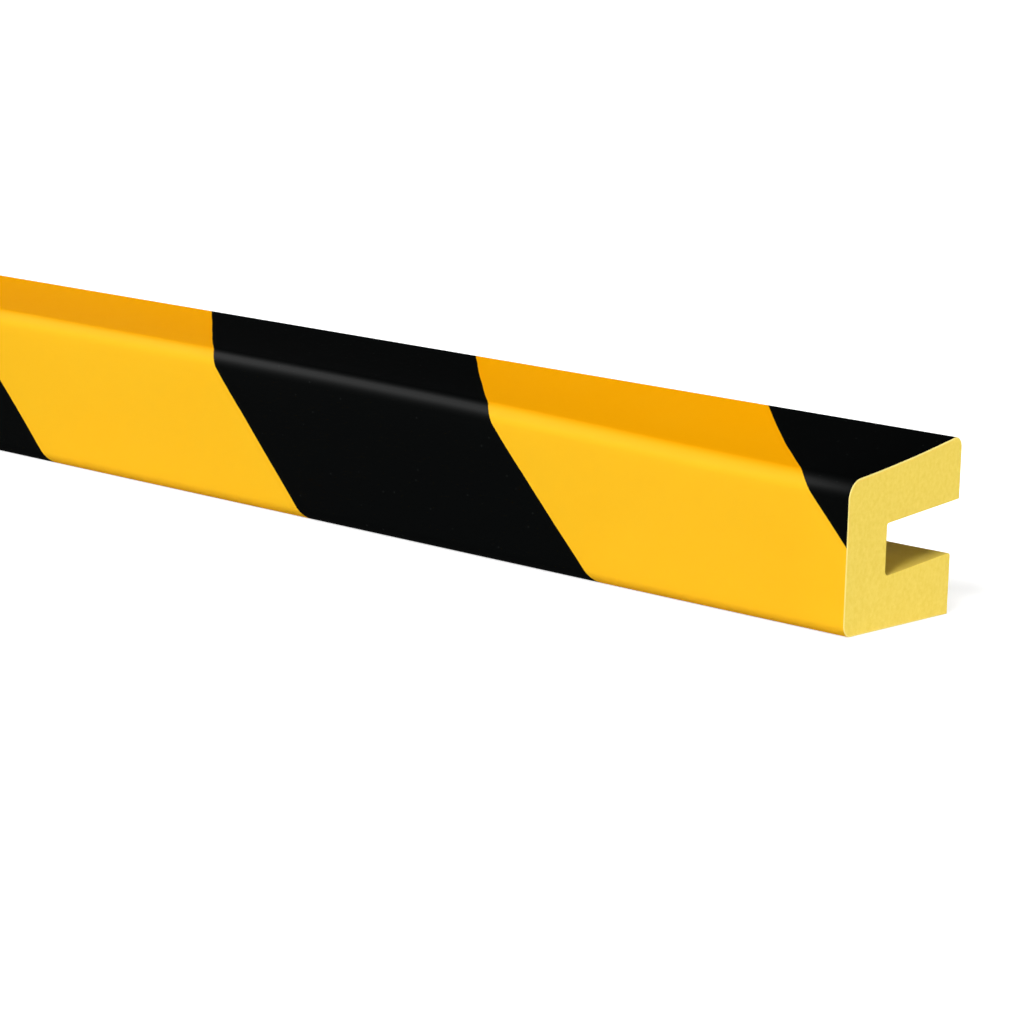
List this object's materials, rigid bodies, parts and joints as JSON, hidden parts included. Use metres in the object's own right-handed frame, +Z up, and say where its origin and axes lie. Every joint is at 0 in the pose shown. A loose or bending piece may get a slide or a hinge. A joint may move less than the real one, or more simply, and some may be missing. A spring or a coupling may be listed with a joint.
{
  "type": "edge protector profile",
  "caption": "Straight push-on foam edge protector with a C-shaped section, widening flanks and slanting black and yellow warning stripes.",
  "frame": {"origin": "on the plane of the lower flank, under the middle of the length and of the width that the part covers", "axes": "+X along the length, +Y out of the slot's mouth, +Z up from the lower flank that the part lies on; the slot's middle plane rises 5 degrees towards the mouth"},
  "size_m": [1, 0.0304, 0.0272],
  "materials": {
    "coated_foam": "soft polyurethane foam with a satin coat in slanting warning-yellow and black stripes on the front and both flanks, and bare pale yellow foam on the cut ends, in the slot and on the lips' rear faces"
  },
  "bodies": {
    "root": {"profile": "coated_foam"}
  },
  "joints": []
}
